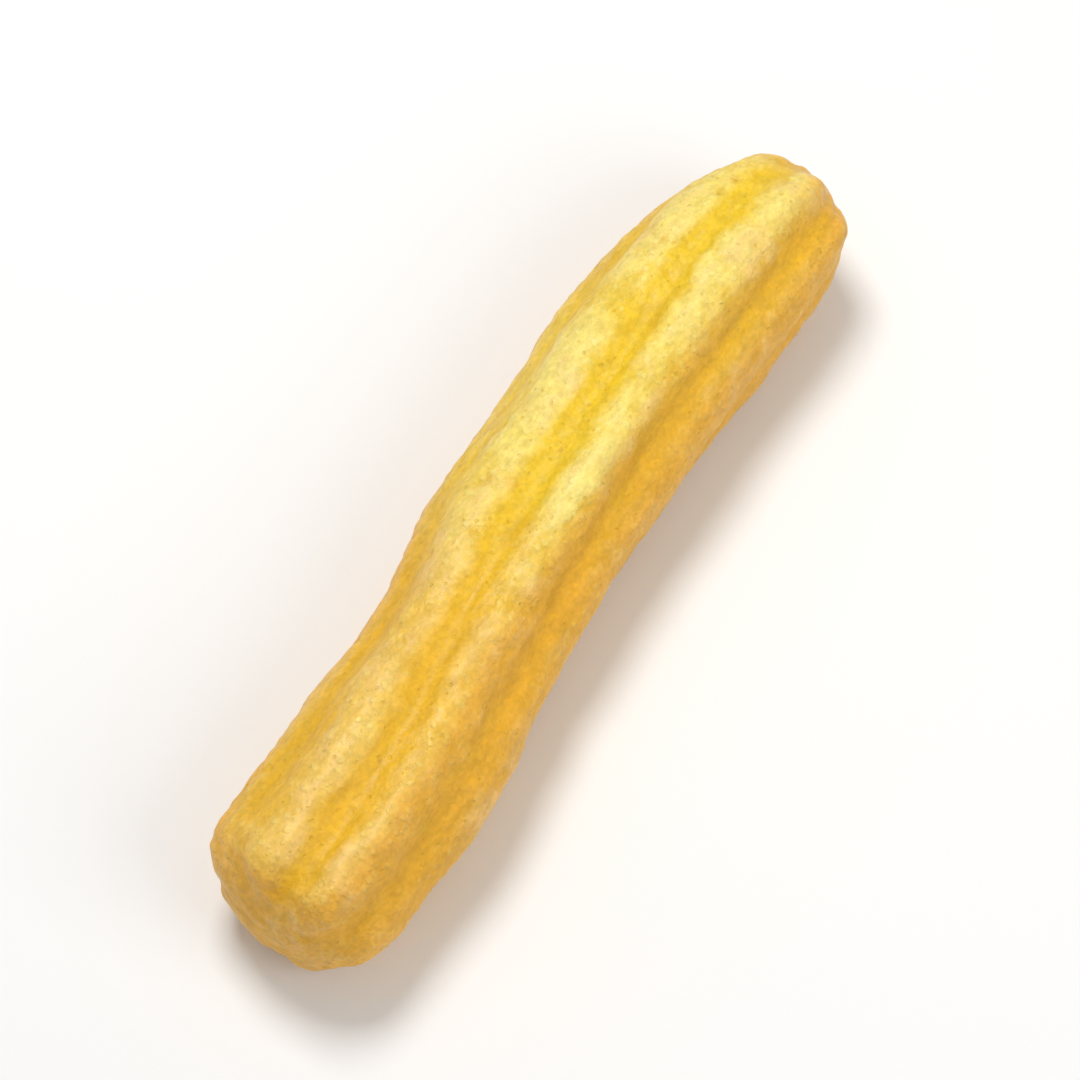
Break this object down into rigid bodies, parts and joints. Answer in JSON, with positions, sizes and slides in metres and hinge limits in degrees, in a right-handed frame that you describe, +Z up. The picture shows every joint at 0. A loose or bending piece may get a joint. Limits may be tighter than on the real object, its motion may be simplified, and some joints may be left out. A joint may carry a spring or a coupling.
{
  "type": "churro",
  "caption": "Fried churro stick with rounded lengthwise ridges, a slight bend and blunt rounded ends, lying on its side.",
  "frame": {"origin": "under the middle of the bounding box, on the surface that the churro lies on", "axes": "+X along the stick towards the end that is shown in full, +Z up out of the shown side"},
  "size_m": [0.1186, 0.0344, 0.0239],
  "materials": {
    "fried_crust": "golden fried dough crust with a slight oil sheen"
  },
  "bodies": {
    "root": {"churro": "fried_crust"}
  },
  "joints": []
}
